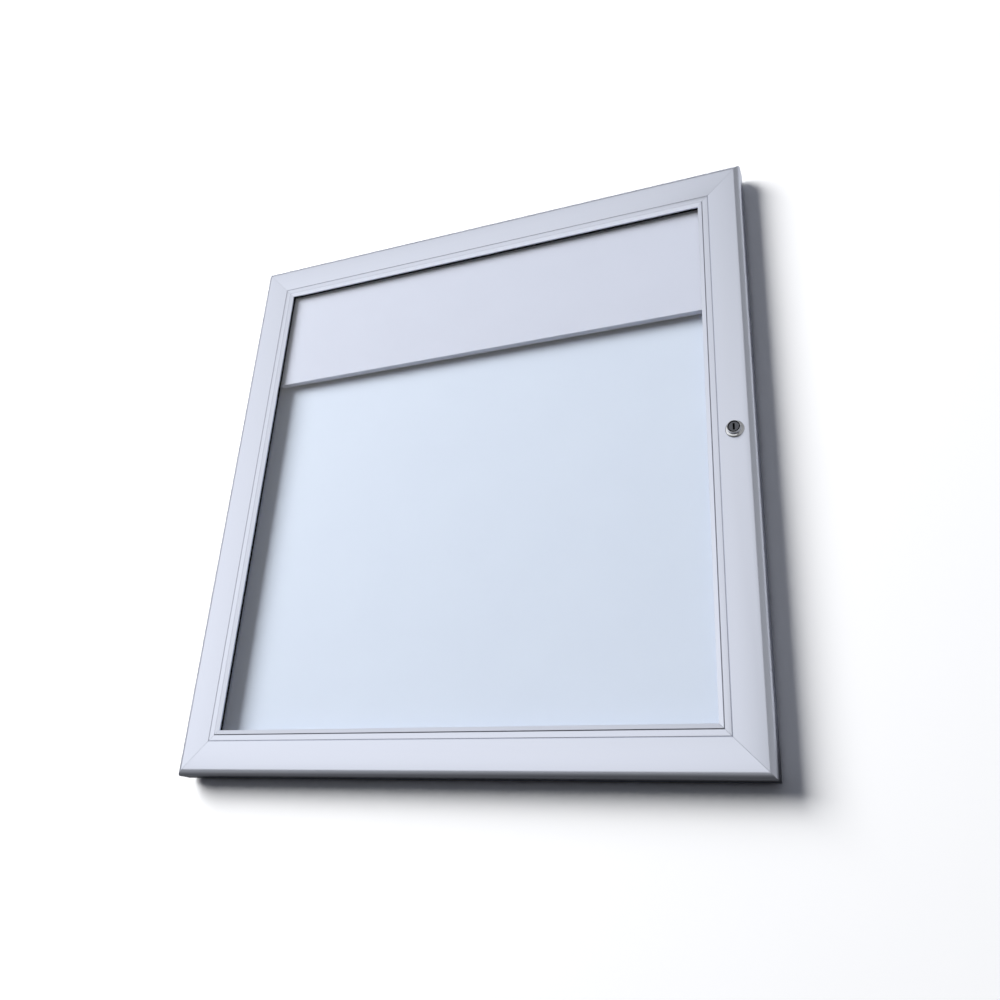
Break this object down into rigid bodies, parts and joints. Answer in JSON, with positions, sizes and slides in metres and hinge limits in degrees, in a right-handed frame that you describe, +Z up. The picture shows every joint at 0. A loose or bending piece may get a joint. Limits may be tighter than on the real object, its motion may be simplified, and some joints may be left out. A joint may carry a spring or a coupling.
{
  "type": "lockable notice board",
  "caption": "Shallow wall-hung notice case with a glazed, mitred door on concealed side hinges, a header panel behind the pane and a cam lock in the other stile.",
  "frame": {"origin": "centre of the back face, on the wall's surface, at the middle of the four wall fixings", "axes": "+X to the right seen from the front, +Y into the wall, +Z up; the front faces -Y"},
  "size_m": [0.718, 0.039, 0.754],
  "materials": {
    "door_aluminium": "satin anodised",
    "case_aluminium": "satin anodised",
    "zinc_plated_steel": "zinc plated",
    "cast_aluminium": "as cast",
    "black_rubber": "matt",
    "clear_glass": "polished",
    "header_sheet": "satin",
    "white_sheet": "satin",
    "fibreboard": "raw",
    "lock_chrome": "polished",
    "lock_nut_steel": "plated"
  },
  "bodies": {
    "case": {"back_panel": "white_sheet", "backing_board": "fibreboard", "case_bottom": "case_aluminium", "case_corner_cleats": "cast_aluminium", "case_left": "case_aluminium", "case_right": "case_aluminium", "case_top": "case_aluminium", "hinge_case_leaf_bottom": "zinc_plated_steel", "hinge_case_leaf_top": "zinc_plated_steel", "hinge_case_screws": "zinc_plated_steel", "hinge_pin_bottom": "zinc_plated_steel", "hinge_pin_top": "zinc_plated_steel", "keeper_screws": "zinc_plated_steel", "lock_keeper": "zinc_plated_steel", "weather_seal": "black_rubber"},
    "door": {"door_bottom_rail": "door_aluminium", "door_corner_keys": "cast_aluminium", "door_hinge_stile": "door_aluminium", "door_lock_stile": "door_aluminium", "door_top_rail": "door_aluminium", "glazing_bead_bottom": "door_aluminium", "glazing_bead_left": "door_aluminium", "glazing_bead_right": "door_aluminium", "glazing_bead_top": "door_aluminium", "glazing_gasket": "black_rubber", "glazing_pane": "clear_glass", "header_panel": "header_sheet", "header_screws": "zinc_plated_steel", "hinge_door_block_bottom": "cast_aluminium", "hinge_door_block_top": "cast_aluminium", "lock_barrel": "lock_chrome", "lock_nut": "lock_nut_steel", "rear_glazing_seal": "black_rubber"},
    "lock": {"lock_plug": "lock_chrome", "lock_cam": "zinc_plated_steel", "cam_screw": "zinc_plated_steel"}
  },
  "joints": [
    {"name": "door_hinge", "type": "hinge", "parent": "case", "child": "door", "pos_m": [-0.3534, -0.0095, 0], "axis": [0, 0, -1], "range_deg": [0, 100]},
    {"name": "lock_turn", "type": "hinge", "parent": "door", "child": "lock", "pos_m": [0.336, -0.032, 0], "axis": [0, 1, 0], "range_deg": [0, 90]}
  ]
}
